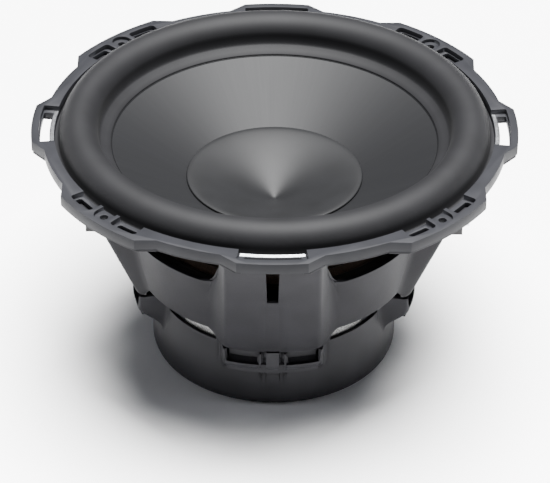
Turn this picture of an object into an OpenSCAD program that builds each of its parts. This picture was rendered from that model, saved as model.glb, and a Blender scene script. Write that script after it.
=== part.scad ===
// Car subwoofer driver, standing on its magnet cover with the cone facing up.
// Origin at the middle of the base, +Z up towards the cone. The front leg points along -Y.
// Depths (names ending in _h) are measured down from the trim ring's top face.

/* [Frame and trim] */
// Outside diameter over the mounting tabs and lobes
outer_d = 328; // [273:1:394]
// How far the stretches between tabs and lobes are set back
scallop = 7.4; // [4:0.2:9]
// Width of the trim ring from its outside to its inner edge
trim_w = 15.5; // [14:0.5:18]
// Thickness of the trim ring
trim_t = 7.2; // [6:0.2:9]
// Thickness of the basket's pressed steel
steel_t = 1.8; // [1.4:0.1:2.4]
// Distance of the mounting holes from the outside
hole_inset = 10; // [9:0.5:11]
// Diameter of the mounting holes
hole_d = 5.5; // [4.5:0.1:6.6]
// Depth from the trim's top face to the bottom of the basket
basket_depth = 118; // [98:1:142]
// How far the basket's wall sits inside the outside edge
wall_inset = 24; // [22:0.5:28]
// Width of each leg's outer face
leg_w = 63; // [52:1:76]
// Width of the slot at the top of a leg
slot_w = 9.6; // [7:0.2:12]

/* [Cone and surround] */
// Outer radius of the surround's half roll
roll_r = 13; // [10:0.5:15]
// Thickness of the surround rubber
rubber_t = 1.8; // [1.2:0.1:2.4]
// Width of the flat landing where the surround is glued to the cone
landing_w = 8.4; // [6:0.2:11]
// Thickness of the cone
cone_t = 1.3; // [0.8:0.1:2]
// Diameter of the dust cap
cap_d = 120; // [100:1:144]
// Depth of the dust cap's point below its rim
cap_sink = 19; // [14:0.5:22]

/* [Voice coil and suspension] */
// Inside diameter of the voice coil former
coil_d = 63.5; // [52:0.5:76.5]
// Wall of the voice coil former
former_t = 0.6; // [0.3:0.1:1]
// Thickness of the wire wound on the former
wire_t = 1.7; // [1:0.1:2.2]
// Height of the two windings together
winding_l = 28; // [23:0.5:34]
// Travel of the cone each way from rest
travel = 14; // [8:0.5:15]
// Height of one corrugation of the spider
spider_wave = 2.2; // [1:0.1:3]
// Thickness of the spider cloth
spider_t = 0.9; // [0.5:0.1:1.4]

/* [Magnet] */
// Outside diameter of the magnet rings
magnet_d = 150; // [125:1:180]
// Thickness of one magnet ring
magnet_t = 17; // [14:0.5:20.5]
// Thickness of the top plate
plate_t = 10; // [8:0.5:12]
// Thickness of the back plate
back_t = 10; // [8:0.5:12]
// Gap between the voice coil and the steel on each side
gap = 0.65; // [0.4:0.05:1]
// Diameter of the vent through the pole
vent_d = 24; // [18:1:30]
// Wall of the moulded magnet cover
cover_t = 2.4; // [1.8:0.1:3.2]

/* [Terminals] */
// Width of one terminal housing
terminal_w = 52; // [44:1:60]
// Height of one terminal housing
terminal_l = 17; // [15:0.5:20]
// Diameter of a wire hole
wire_d = 4; // [3:0.1:4.4]
// Travel of a push button
button_travel = 3; // [2:0.25:3.5]

/* [Hidden] */
$fn = 120;
eps = 0.01;
far = 400;          // longer than any part, for cutting shapes

// clearances between pieces
loose = 0.5;        // a piece that drops into another
air = 0.3;          // between pieces that move past each other

// heights
total_h = basket_depth + plate_t + 2 * magnet_t + back_t + cover_t;
function z_at(h) = total_h - h;
flange_h = trim_t + steel_t;            // underside of the steel flange
plate_h = basket_depth;                 // top face of the top plate
magnet_h = plate_h + plate_t;           // top face of the front magnet
back_h = magnet_h + 2 * magnet_t;       // top face of the back plate
base_h = back_h + back_t;               // inside face of the cover's base

// radii of the frame
outer_r = outer_d / 2;
inset_r = outer_r - scallop;
trim_in_r = outer_r - trim_w;
hole_r = outer_r - hole_inset;
wall_r = outer_r - wall_inset;
lobe_turn = 45;                         // lobes stand between the tabs
quarter = 90;
tab_corner = 8;                         // half angle of a tab at the outside
tab_foot = 12.3;                        // and where it meets the set-back stretch
lobe_corner = 12.5;
lobe_foot = 16.8;
pocket_t = 3.5;                         // depth of the pockets in the trim's face
seat_t = 2.4;                           // depth of the seats round the mounting holes
pocket_r = outer_r - 5.2;               // outer wall of the pockets
window_in_r = trim_in_r + 3.2;
window_out_r = pocket_r - 0.8;
tab_window = 6.9;                       // half angle of a tab's window

// magnet stack
magnet_r = magnet_d / 2;
plate_r = magnet_r + 3;
back_r = magnet_r - 4;
former_r = coil_d / 2 + former_t;
coil_r = former_r + wire_t;
pole_r = coil_d / 2 - gap;
bore_r = coil_r + gap;
magnet_in_r = bore_r + 8;

// basket
knee_h = flange_h + 14.5;               // where the legs start to lean in
lip_h = flange_h + 7;                   // bottom of the flange's turned-down lip
lip_t = 2;
edge_inset = 0.8;                       // the flange stays inside the trim's outline
leg_foot_h = basket_depth - 1;
leg_foot_r = plate_r + 21;
band_top_h = basket_depth - 54;
band_foot_h = basket_depth - 11;
band_foot_r = plate_r + 17;
floor_r = plate_r - 4;                  // where the floor meets the top plate
floor_in_r = bore_r + 3;
leg_slope = (wall_r - leg_foot_r) / (leg_foot_h - knee_h);
function leg_r(h) = wall_r - max(0, h - knee_h) * leg_slope;
terminal_h = band_top_h - 2;            // middle of a terminal housing
terminal_x = leg_r(terminal_h);
back_x = terminal_x - 14;               // back of a terminal housing
band_top_r = back_x - 6.12;             // the band passes behind the terminals
function band_r(h) =
    band_foot_r + (band_top_r - band_foot_r) * (band_foot_h - h) / (band_foot_h - band_top_h);
half_leg = leg_w / 2;
gusset_run = 8;                         // how far a leg's side spreads towards the band
slot_foot_h = band_top_h - 6;
groove_w = slot_w + 0.8;
groove_t = 0.6;

plate_screw_r = floor_in_r + 12;
plate_screw_d = 5;

// suspension
roll_mid_r = trim_in_r - 3.5 - roll_r;
roll_mid_h = 2;
roll_in_r = roll_mid_r - roll_r;
landing_r = roll_in_r - landing_w;
landing_t = 0.8;
landing_h = roll_mid_h + 8.6;           // depth of the landing's inner edge
spider_h = band_top_h + 4;
spider_r = band_top_r - 5;
ledge_h = spider_h + spider_t / 2;

// cone, straight from the neck to under the landing
neck_r = former_r + 0.3;
neck_h = spider_h - 11.7;
cone_slope = (neck_h - landing_h - landing_t) / (landing_r - neck_r);
cone_edge_r = roll_in_r + 1.5;
function cone_h(r) = landing_h + landing_t + (landing_r - r) * cone_slope;
cap_r = cap_d / 2;
cap_t = 1.2;
cap_h = cone_h(cap_r);
former_foot_h = plate_h + plate_t / 2 + winding_l / 2 + 1;
winding_top_h = former_foot_h - 1 - winding_l;
short_t = back_h - former_foot_h - travel - 3;  // the ring fills what the coil never reaches

// cover
cover_in_r = plate_r + loose;
waist_r = cover_in_r + cover_t;
belly_r = waist_r + 4;
notch_h = plate_h + 9;                  // lowest point of the rim, between the legs
peak_h = plate_h - 3.5;                 // highest point of the rim, beside the legs
saddle_h = leg_foot_h + 2.5;            // the saddles' rim, just under the legs
pocket_h = saddle_h + 9;                // rim of the pockets in the saddles
saddle_foot_h = plate_h + 28;
saddle_r = leg_foot_r - 0.5;
notch_angle = 13.7;
belly_h = notch_h + 29;
edge_r = 8;                             // rounding of the cover's bottom edge
cover_screw_r = back_r - 18;
cover_screw_d = 4;

// terminals
face_x = terminal_x + 5;
boss_w = terminal_w - 12;
boss_l = terminal_l - 2.4;
push_w = 17;
push_l = 6.5;
push_y = 10.5;                          // middle of a button, each side of the leg's middle
push_h = terminal_h + 2.6;
push_out = 5;                           // how far a button stands out
push_in_x = terminal_x - 7;             // inner end of a button at rest
well_x = push_in_x - button_travel - 3; // bottom of a button's well
lead_h = spider_h - spider_wave - spider_t - 2;
lead_r = 0.9;
wire_h = terminal_h - 4.1;
mouth_t = 1;                            // depth of the wider mouth of a wire hole
slit_w = 4;                             // slit at the back of a housing for its contact
slit_h = lead_h - 1;
terminal_screw_d = 2.8;
terminal_screw_y = boss_w / 2 + 3;

// ---- shared shapes ----

// a wedge of the plane, from angle a to angle b seen from the middle
module wedge(a, b, r = far) {
    polygon([[0, 0], for (i = [0:4]) let (t = a + (b - a) * i / 4) [r * cos(t), r * sin(t)]]);
}

// ring of a given height whose top is at depth h
module ring(r_out, r_in, h, tall) {
    translate([0, 0, z_at(h + tall)]) difference() {
        cylinder(r = r_out, h = tall);
        translate([0, 0, -eps]) cylinder(r = r_in, h = tall + 2 * eps);
    }
}

// a turned body from [radius, depth] points
module turned(points) {
    rotate_extrude() polygon([for (p = points) [p[0], z_at(p[1])]]);
}

// a raised tab or lobe of the flange: flat flanks from the inset circle out to the corners
module raised(corner, foot) {
    polygon([for (s = [[inset_r - 30, foot], [inset_r - eps, foot], [outer_r, corner],
                       [outer_r + 20, corner]]) s[0] * [cos(s[1]), sin(s[1])],
             for (s = [[outer_r + 20, -corner], [outer_r, -corner], [inset_r - eps, -foot],
                       [inset_r - 30, -foot]]) s[0] * [cos(s[1]), sin(s[1])]]);
}

// outline of the flange, smaller all round by s
module outline(s = 0) {
    circle(r = inset_r - s);
    intersection() {
        circle(r = outer_r - s);
        for (a = [0:quarter:359]) {
            rotate(a) raised(tab_corner, tab_foot);
            rotate(a + lobe_turn) raised(lobe_corner, lobe_foot);
        }
    }
}

module mounting_holes(r) {
    for (a = [0:quarter:359]) rotate(a + lobe_turn) translate([hole_r, 0]) circle(r = r);
}

// ---- fixed parts ----

// part of a ring between two radii and two angles, with rounded corners
module rounded_sector(r_in, r_out, a, b, r) {
    offset(r = r, $fn = 24) offset(delta = -r) intersection() {
        wedge(a, b);
        difference() {
            circle(r = r_out, $fn = 240);
            circle(r = r_in, $fn = 240);
        }
    }
}

module trim_ring() {
    tab = tab_window + 1.4;
    slot = [3.6, 11.3];
    window = [4.7, 10.6];
    seat_r = 6.6;
    color("#3b3d42")
    difference() {
        translate([0, 0, z_at(trim_t)]) linear_extrude(trim_t) difference() {
            outline();
            circle(r = trim_in_r);
        }
        // pockets open to the inner edge
        translate([0, 0, z_at(pocket_t)]) linear_extrude(far) for (a = [0:quarter:359]) {
            rotate(a) rounded_sector(trim_in_r - 10, pocket_r, -tab, tab, 1.2);
            for (s = [0, 1]) rotate(a + lobe_turn) mirror([0, s])
                rounded_sector(trim_in_r - 10, pocket_r, slot[0], slot[1], 2.5);
        }
        // windows through the pockets' floors
        translate([0, 0, z_at(trim_t) - eps]) linear_extrude(trim_t) for (a = [0:quarter:359]) {
            rotate(a) rounded_sector(window_in_r, window_out_r, -tab_window, tab_window, 1.2);
            for (s = [0, 1]) rotate(a + lobe_turn) mirror([0, s])
                rounded_sector(window_in_r, window_out_r, window[0], window[1], 1.8);
        }
        // screw seats and holes
        for (a = [0:quarter:359]) rotate(a + lobe_turn) {
            translate([hole_r, 0, z_at(seat_t)]) cylinder(r = seat_r, h = far);
            translate([trim_in_r - 10, -seat_r, z_at(seat_t)])
                cube([hole_r - trim_in_r + 10, 2 * seat_r, far]);
            translate([hole_r, 0, 0]) cylinder(d = hole_d, h = far);
        }
    }
}

module mounting_gasket() {
    color("#1b1b1c")
    translate([0, 0, z_at(flange_h + 2)]) linear_extrude(2) difference() {
        circle(r = window_in_r - 0.7);
        circle(r = wall_r + 1.5);
    }
}

// one side of a leg, a folded sheet between the face's edge and the band
module gusset() {
    t = 2.2;
    out = function(h) sqrt(pow(leg_r(h) - 0.6, 2) - pow(half_leg, 2));
    side = function(h) half_leg + 2 + (gusset_run - 2) * (h - flange_h) / (band_foot_h - flange_h);
    inn = function(h) sqrt(pow(band_r(h) - 1, 2) - pow(side(h), 2));
    edge = half_leg - 0.4;
    skin = [[out(flange_h), edge, flange_h], [out(knee_h), edge, knee_h],
            [out(band_top_h), edge, band_top_h], [out(leg_foot_h - 0.3), edge, leg_foot_h - 0.3],
            [inn(band_foot_h - 0.4), side(band_foot_h), band_foot_h - 0.4],
            [inn(band_top_h + 2), side(band_top_h), band_top_h - 3],
            [inn(band_top_h) + 9, side(band_top_h) - 1, band_top_h - 15],
            [wall_r - 15, half_leg + 3, flange_h + 16], [wall_r - 13, half_leg + 2, flange_h]];
    n = len(skin);
    strip = [[0, 1, 8], [1, 7, 8], [1, 2, 7], [2, 6, 7], [2, 5, 6], [2, 3, 5], [3, 4, 5]];
    points = [for (y = [0, t]) for (p = skin) [p[0], p[1] - y, z_at(p[2])]];
    faces = [for (f = strip) [f[2], f[1], f[0]],
             for (f = strip) [f[0] + n, f[1] + n, f[2] + n],
             for (i = [0:n - 1]) let (j = (i + 1) % n) each [[i, j, i + n], [j, j + n, i + n]]];
    polyhedron(points, faces);
}

// a leg's face: a slice of the leaning wall
module leg_skin(out, thick, half_w) {
    top = lip_h;
    intersection() {
        turned([[leg_r(top) + out, top], [leg_r(knee_h) + out, knee_h],
                [leg_r(leg_foot_h) + out, leg_foot_h],
                [leg_r(leg_foot_h) + out - thick, leg_foot_h],
                [leg_r(knee_h) + out - thick, knee_h], [leg_r(top) + out - thick, top]]);
        translate([0, -half_w, 0]) cube([far, 2 * half_w, far]);
    }
}

module leg_slot() {
    top = flange_h + 2;
    half = slot_w / 2;
    nip = 1.2;
    translate([band_top_r + 6, 0, 0]) rotate([90, 0, 90]) linear_extrude(far) polygon([
        [-half, z_at(top)], [-half + 1, z_at(slot_foot_h - nip)],
        [-half + 1 + nip, z_at(slot_foot_h)], [half - 1 - nip, z_at(slot_foot_h)],
        [half - 1, z_at(slot_foot_h - nip)], [half, z_at(top)]]);
}

module leg() {
    difference() {
        leg_skin(0, 2.2, half_leg);
        leg_slot();
        intersection() {
            leg_skin(eps, groove_t, groove_w / 2);
            translate([0, -far / 2, 0]) cube([far, far, z_at(slot_foot_h - 3)]);
        }
    }
    gusset();
    mirror([0, 1]) gusset();
}

// flange with its turned-down lip
module basket_rim() {
    color("#26272a")
    difference() {
        union() {
            translate([0, 0, z_at(flange_h)]) linear_extrude(steel_t) difference() {
                outline(edge_inset);
                circle(r = wall_r - lip_t);
                // open under the tabs' windows
                for (a = [0:quarter:359]) rotate(a)
                    rounded_sector(window_in_r, outer_r + 10, -tab_window, tab_window, 1.2);
            }
            lip_ring();
        }
        translate([0, 0, z_at(flange_h) - 5]) linear_extrude(20) mounting_holes(hole_d / 2);
    }
}

module lip_ring(grow = 0) {
    ring(wall_r + grow, wall_r - lip_t, trim_t + eps, lip_h - trim_t);
}

// four legs that reach from the rim down over the band
module basket_legs() {
    color("#2a2b2e")
    difference() {
        for (a = [0:quarter:359]) rotate(a) leg();
        lip_ring(1);
        turned([[0, band_top_h], [band_top_r, band_top_h], [band_foot_r, band_foot_h],
                [band_foot_r - 1.5, band_foot_h + 1.6], [0, band_foot_h + 1.6]]);
        for (s = [0, 180]) rotate(s) terminal_opening();
    }
}

// band between the legs, drawn in under itself down to the floor
module basket_band() {
    step_r = plate_r + 4;
    lip = [50.5, 58];                   // angles of the turned-down lips over the plate's edge
    lip_r = plate_r + 0.4;
    color("#222326")
    difference() {
        union() {
            turned([[band_top_r, band_top_h], [band_foot_r, band_foot_h],
                    [band_foot_r - 1.5, band_foot_h + 1.6], [step_r, band_foot_h + 2.2],
                    [floor_r, plate_h], [floor_in_r, plate_h], [floor_in_r, plate_h - steel_t],
                    [floor_r - 1, plate_h - steel_t], [step_r - 1.4, band_foot_h + 0.4],
                    [band_foot_r - 2.6, band_foot_h], [band_top_r - 2, band_top_h]]);
            // ledge that carries the spider
            ring(band_r(ledge_h + 1) - 1, spider_r - 8, ledge_h, 1.8);
            for (s = [0, 1]) for (t = [0, 1]) mirror([0, s]) mirror([t, 0])
                intersection() {
                    ring(lip_r + 1.2, lip_r, band_foot_h + 3.5, notch_h - band_foot_h - 9.5);
                    linear_extrude(far) rotate(-quarter) wedge(lip[0], lip[1]);
                }
        }
        for (a = [0:60:359]) rotate(a) translate([plate_screw_r, 0, z_at(plate_h) - 5])
            cylinder(d = plate_screw_d + 2 * air, h = 10);
    }
}

// opening in a side leg for the housing and its screws
module terminal_opening() {
    translate([back_x, -boss_w / 2 - air, z_at(terminal_h + boss_l / 2 + air)])
        cube([far, boss_w + 2 * air, boss_l + 2 * air]);
    for (s = [-1, 1]) translate([back_x, s * terminal_screw_y, z_at(terminal_h)])
        rotate([0, 90, 0]) cylinder(d = terminal_screw_d, h = far);
}

// half roll with an outer foot on the flange and an inner landing along the cone's edge
module surround() {
    foot_t = 1.6;
    step = 7.5;
    foot_in_r = wall_r - 1;
    foot_out_r = trim_in_r - 0.6;
    arc = function(r, from, to) [for (a = [from:(to > from ? step : -step):to])
        [roll_mid_r + r * cos(a), roll_mid_h - r * sin(a)]];
    inside_r = roll_in_r + rubber_t;
    color("#202124")
    turned(concat(
        arc(roll_r, 180, 0),
        [[roll_mid_r + roll_r, trim_t - foot_t], [foot_out_r, trim_t - foot_t],
         [foot_out_r, trim_t], [foot_in_r, trim_t], [foot_in_r, trim_t - foot_t],
         [roll_mid_r + roll_r - rubber_t, trim_t - foot_t]],
        arc(roll_r - rubber_t, 0, 180),
        [[inside_r, cone_h(inside_r) - air], [landing_r, cone_h(landing_r) - air],
         [landing_r, landing_h], [roll_in_r, cone_h(roll_in_r) - landing_t]]));
}

// corrugated cloth disc, flat where it is glued
module spider() {
    in_r = former_r + air;
    flat_in = in_r + 4;
    flat_out = spider_r - 8.5;
    waves = 7;
    steps = waves * 8;
    path = [for (i = [0:steps]) let (r = flat_in + (flat_out - flat_in) * i / steps)
            [r, spider_h - spider_wave * sin(360 * waves * i / steps)]];
    line = concat([[in_r, spider_h]], path, [[spider_r, spider_h]]);
    last = len(line) - 1;
    color("#6b4a2c")
    turned(concat([for (p = line) [p[0], p[1] - spider_t / 2]],
                  [for (i = [last:-1:0]) [line[i][0], line[i][1] + spider_t / 2]]));
}

module spider_landing_ring() {
    color("#2b2a28") ring(spider_r + 0.4, spider_r - 6.5, spider_h - spider_t / 2 - 1.6, 1.6);
}

// braided leads, two to each side, from the former out over the band to the contacts
module tinsel_leads() {
    start = former_r + 3.2;
    end = back_x - 4.6;
    color("#b5793a")
    for (side = [0, 180]) rotate(side) for (s = [-1, 1])
        translate([start, s * push_y, z_at(lead_h)]) rotate([0, 90, 0])
            cylinder(r = lead_r, h = end - start, $fn = 24);
}

module top_plate() {
    color("#9a9da1")
    difference() {
        ring(plate_r, bore_r, plate_h, plate_t);
        for (a = [0:60:359]) rotate(a) translate([plate_screw_r, 0, z_at(magnet_h) + 2])
            cylinder(d = plate_screw_d, h = plate_t);
    }
}

module magnet(h) {
    color("#3a3b3d") ring(magnet_r, magnet_in_r, h, magnet_t);
}

module front_magnet() { magnet(magnet_h); }
module rear_magnet() { magnet(magnet_h + magnet_t); }

// back plate and vented pole in one forging
module pole_piece() {
    flare = 5;
    color("#8d9094")
    difference() {
        union() {
            ring(back_r, vent_d / 2, back_h, back_t);
            ring(pole_r, vent_d / 2, plate_h - 2, back_h - plate_h + 2 + eps);
        }
        turned([[0, plate_h - 3], [vent_d / 2 + 3, plate_h - 3], [vent_d / 2 - eps, plate_h + 4],
                [0, plate_h + 4]]);
        turned([[0, base_h - flare], [vent_d / 2 - eps, base_h - flare],
                [vent_d / 2 + flare, base_h + eps], [0, base_h + eps]]);
        for (a = [30:120:359]) rotate(a) translate([cover_screw_r, 0, z_at(base_h) - eps])
            cylinder(d = cover_screw_d, h = 8);
    }
}

module shorting_ring() {
    color("#c4c6c8") ring(magnet_in_r - 1, pole_r + 0.1, back_h - short_t, short_t);
}

// perforated screen pressed into the cover over the vent
module pole_vent_screen() {
    r = vent_d / 2 + 6.5;
    pitch = 4.2;
    rows = floor((r - 3) / pitch);
    color("#1c1c1d")
    difference() {
        translate([0, 0, 0.4]) cylinder(r = r, h = cover_t - 0.5);
        for (i = [-rows:rows]) for (j = [-rows:rows])
            if (norm([i, j]) * pitch < r - 3)
                translate([i * pitch, j * pitch, 0]) cylinder(d = 2.6, h = 10, $fn = 24);
    }
}

// outside of the cover as radius and depth, with a rounded bottom edge
function cover_side(s) = concat(
    [[belly_r - s, peak_h], [waist_r - s, notch_h], [belly_r - s, belly_h]],
    [for (a = [0:15:90]) [belly_r - edge_r - 1 + (edge_r - s * 0.7) * cos(a) + 1,
                          base_h + cover_t - s - edge_r + (edge_r - s * 0.7) * sin(a) + s * 0.7]]);

module saddle_body(s) {
    intersection() {
        turned([[waist_r - 8, saddle_h + s], [saddle_r - s, saddle_h + s],
                [saddle_r - s - 1.5, saddle_h + 5 + s], [belly_r - s, saddle_foot_h],
                [waist_r - 8, saddle_foot_h]]);
        translate([0, -half_leg - 1 + s, 0]) cube([far, leg_w + 2 - 2 * s, far]);
    }
}

module magnet_cover() {
    rib_y = 8.5;
    pocket_deep = 5.5;
    color("#1d1e20")
    difference() {
        union() {
            turned(concat([[magnet_r - 20, peak_h]], cover_side(0), [[0, total_h]],
                          [[0, total_h - 1], [magnet_r - 20, total_h - 1]]));
            for (a = [0:quarter:359]) rotate(a) saddle_body(0);
        }
        // hollow
        turned(concat([[0, peak_h - 1], [belly_r - cover_t, peak_h - 1]],
                      [for (p = cover_side(cover_t)) if (p[1] < base_h - edge_r) p],
                      [[cover_in_r, base_h - edge_r], [cover_in_r - 4, base_h], [0, base_h]]));
        for (a = [0:quarter:359]) rotate(a) {
            // pockets in each saddle, with ribs and a tongue between
            for (s = [0, 1]) mirror([0, s]) {
                intersection() {
                    translate([0, 0, 2.2]) saddle_body(cover_t - eps);
                    translate([saddle_r - pocket_deep, rib_y + 0.8, z_at(pocket_h + 6)])
                        cube([far, far, far]);
                }
                translate([saddle_r - pocket_deep, rib_y + 0.8, z_at(pocket_h)])
                    cube([far, half_leg - 3 - rib_y, far]);
            }
            // rim cut to follow the leg's foot
            rotate([90, 0, 90]) linear_extrude(far) polygon([
                [-half_leg - 1.5, z_at(saddle_h)], [half_leg + 1.5, z_at(saddle_h)],
                [half_leg + gusset_run + 0.5, z_at(peak_h + 1)],
                [half_leg + gusset_run + 3, z_at(peak_h) + 1], [0, total_h],
                [-half_leg - gusset_run - 3, z_at(peak_h) + 1],
                [-half_leg - gusset_run - 0.5, z_at(peak_h + 1)]]);
            // notch between the legs
            translate([0, 0, z_at(notch_h)]) linear_extrude(far) rotate(lobe_turn)
                wedge(-notch_angle, notch_angle);
        }
        // vent and fixings in the base
        translate([0, 0, -eps]) cylinder(r = vent_d / 2 + 4, h = 1);
        translate([0, 0, 0.4 - eps]) cylinder(r = vent_d / 2 + 6.5, h = far);
        for (a = [30:120:359]) rotate(a) translate([cover_screw_r, 0, -eps]) {
            cylinder(d = cover_screw_d + 2 * air, h = far);
            cylinder(d = 9, h = 1.4);
        }
    }
}

module cover_screws() {
    color("#4a4c50")
    for (a = [30:120:359]) rotate(a) translate([cover_screw_r, 0, 0.2]) {
        cylinder(d = 8, h = 1.2 - eps);
        cylinder(d = cover_screw_d - 0.05, h = cover_t + 7);
    }
}

module plate_screws() {
    color("#a7aaad")
    for (a = [0:60:359]) rotate(a) translate([plate_screw_r, 0, z_at(plate_h)]) {
        translate([0, 0, steel_t]) cylinder(d = 9, h = 3);
        translate([0, 0, 2 - plate_t + 0.2]) cylinder(d = plate_screw_d - 0.05,
                                                       h = plate_t - 2 + steel_t);
    }
}

// ---- terminals, drawn on the right and turned to the left ----

module on_left() { rotate(180) children(); }

module push_shape(grow) {
    translate([-push_w / 2 - grow, z_at(push_h + push_l / 2) - grow])
        square([push_w + 2 * grow, push_l + 2 * grow]);
}

module terminal_housing() {
    color("#141415")
    difference() {
        union() {
            difference() {
                translate([terminal_x - 12, -terminal_w / 2, z_at(terminal_h + terminal_l / 2)])
                    cube([face_x - terminal_x + 12, terminal_w, terminal_l]);
                turned([[0, 0], [leg_r(knee_h) + 0.05, 0], [leg_r(knee_h) + 0.05, knee_h],
                        [leg_r(leg_foot_h) + 0.05, leg_foot_h], [0, leg_foot_h]]);
            }
            translate([back_x, -boss_w / 2, z_at(terminal_h + boss_l / 2)])
                cube([face_x - back_x, boss_w, boss_l]);
        }
        for (s = [-1, 1]) {
            // button well, left open at the back for the lead
            translate([well_x, s * push_y, 0]) rotate([90, 0, 90])
                linear_extrude(far) push_shape(air);
            translate([back_x - eps, s * push_y - slit_w / 2, z_at(slit_h + 2)])
                cube([9, slit_w, 2]);
            translate([back_x - 1, s * push_y, z_at(wire_h)]) rotate([0, 90, 0])
                cylinder(d = wire_d, h = far);
            translate([face_x - mouth_t, s * push_y, z_at(wire_h)]) rotate([0, 90, 0])
                cylinder(d = wire_d + 1.2, h = far);
            translate([back_x, s * terminal_screw_y, z_at(terminal_h)]) rotate([0, 90, 0])
                cylinder(d = terminal_screw_d, h = far);
        }
    }
}

module left_terminal_housing() { on_left() terminal_housing(); }
module right_terminal_housing() { terminal_housing(); }

// strip at the back of each housing that joins the lead to the wire
module terminal_contacts() {
    play = 0.05;
    color("#c9b27a")
    for (s = [-1, 1])
        translate([back_x - 4.4, s * push_y - slit_w / 2 + play, z_at(slit_h + 2) + play])
            cube([5.3, slit_w - 2 * play, 2 - 2 * play]);
}

module left_terminal_contacts() { on_left() terminal_contacts(); }
module right_terminal_contacts() { terminal_contacts(); }

// bent leaf behind each button
module terminal_springs() {
    a = well_x + 0.05;
    b = push_in_x - air;
    m = (a + b) / 2;
    t = 0.4;
    color("#b98b4b")
    for (s = [-1, 1]) translate([0, s * push_y - 5, z_at(push_h + 1.6)]) linear_extrude(3.2)
        polygon([[a, 0], [a + t, 0], [a + t, 4], [b - t, 8], [b - t, 10], [b, 10], [b, 8],
                 [m + t, 5.4], [a + 2 * t, 4], [a + 2 * t, 0], [a + 2 * t, -0.5], [a, -0.5]]);
}

module left_terminal_springs() { on_left() terminal_springs(); }
module right_terminal_springs() { terminal_springs(); }

module terminal_screws() {
    color("#8b8e92")
    for (side = [0, 180]) rotate(side) for (s = [-1, 1])
        translate([face_x, s * terminal_screw_y, z_at(terminal_h)]) rotate([0, 90, 0]) {
            cylinder(d = 4.6, h = 1.5);
            translate([0, 0, -12]) cylinder(d = terminal_screw_d - 0.05, h = 12 + eps);
        }
}

// silver push button, ribbed for the thumb
module push_button(s) {
    color("#c3c5c8")
    translate([0, s * push_y, 0]) difference() {
        translate([push_in_x, 0, 0]) rotate([90, 0, 90])
            linear_extrude(face_x + push_out - push_in_x) push_shape(0);
        for (i = [-1:1]) translate([face_x + push_out - 0.5, i * 4 - 0.5, 0]) cube([2, 1, far]);
    }
}

module left_front_button() { on_left() push_button(1); }
module left_rear_button() { on_left() push_button(-1); }
module right_front_button() { push_button(-1); }
module right_rear_button() { push_button(1); }

// ---- moving parts ----

module cone() {
    color("#2b2c2f")
    turned([[neck_r, neck_h], [cone_edge_r, cone_h(cone_edge_r)],
            [cone_edge_r, cone_h(cone_edge_r) + cone_t], [neck_r, neck_h + cone_t]]);
}

// inverted cap: a rolled rim, then a dish that steepens to a point
module dust_cap() {
    n = 12;
    lip = 1.6;
    dish = [for (i = [0:n]) let (u = i / n) [cap_r - lip - (cap_r - lip) * u,
            cap_h - lip + (cap_sink + lip) * pow(u, 1.35)]];
    color("#2d2e31")
    turned(concat([[cap_r, cap_h - 0.6]], dish,
                  [for (i = [n:-1:1]) [dish[i][0], dish[i][1] + cap_t]],
                  [[cap_r - 2.2, cone_h(cap_r - 2.2) - 0.05], [cap_r, cone_h(cap_r) - 0.05]]));
}

module coil_former() {
    color("#b9bcc0") ring(former_r, coil_d / 2, neck_h - 2, former_foot_h - neck_h + 2);
}

module winding(h) {
    color("#a4622d") ring(coil_r, former_r + 0.02, h, winding_l / 2 - 0.25);
}

module upper_winding() { winding(winding_top_h); }
module lower_winding() { winding(winding_top_h + winding_l / 2 + 0.25); }

// moulded ring that ties the cone's neck to the former
module neck_ring() {
    wide_r = neck_r + 4;
    joint = cone_t + 0.05;
    color("#1a1a1b")
    turned([[former_r + 0.02, neck_h + joint], [neck_r, neck_h + joint],
            [wide_r, cone_h(wide_r) + joint], [neck_r + 2.4, neck_h + 4.4],
            [former_r + 0.02, neck_h + 4.4]]);
}

module lead_lugs() {
    color("#c9b27a")
    for (side = [0, 180]) rotate(side) for (s = [-1, 1])
        translate([0, s * push_y - 1.5, z_at(lead_h + 0.5)]) difference() {
            translate([sqrt(pow(former_r, 2) - pow(push_y, 2)) - 1, 0, 0]) cube([3.2, 3, 1]);
            translate([0, push_y - s * push_y - push_y + 1.5, -1]) cylinder(r = former_r + 0.02, h = 4);
        }
}

basket_rim();
basket_legs();
basket_band();
trim_ring();
mounting_gasket();
surround();
spider();
spider_landing_ring();
tinsel_leads();
top_plate();
front_magnet();
rear_magnet();
pole_piece();
shorting_ring();
pole_vent_screen();
magnet_cover();
cover_screws();
plate_screws();
left_terminal_housing();
right_terminal_housing();
left_terminal_contacts();
right_terminal_contacts();
left_terminal_springs();
right_terminal_springs();
terminal_screws();
cone();
dust_cap();
coil_former();
upper_winding();
lower_winding();
neck_ring();
lead_lugs();
left_front_button();
left_rear_button();
right_front_button();
right_rear_button();
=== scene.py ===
# %% [markdown]
# # A car subwoofer driver, standing on its magnet
#
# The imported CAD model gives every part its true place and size. This lesson builds the looks
# around it: soft edges on the moulded trim, one folded skin for the pressed basket, a moulded
# boot over the magnet, and a finish for every surface. Nothing here moves a CAD part.

# %% Load the frame and measure it
import math

import bmesh
import bpy
import numpy as np
from mathutils import Matrix, Vector


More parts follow.
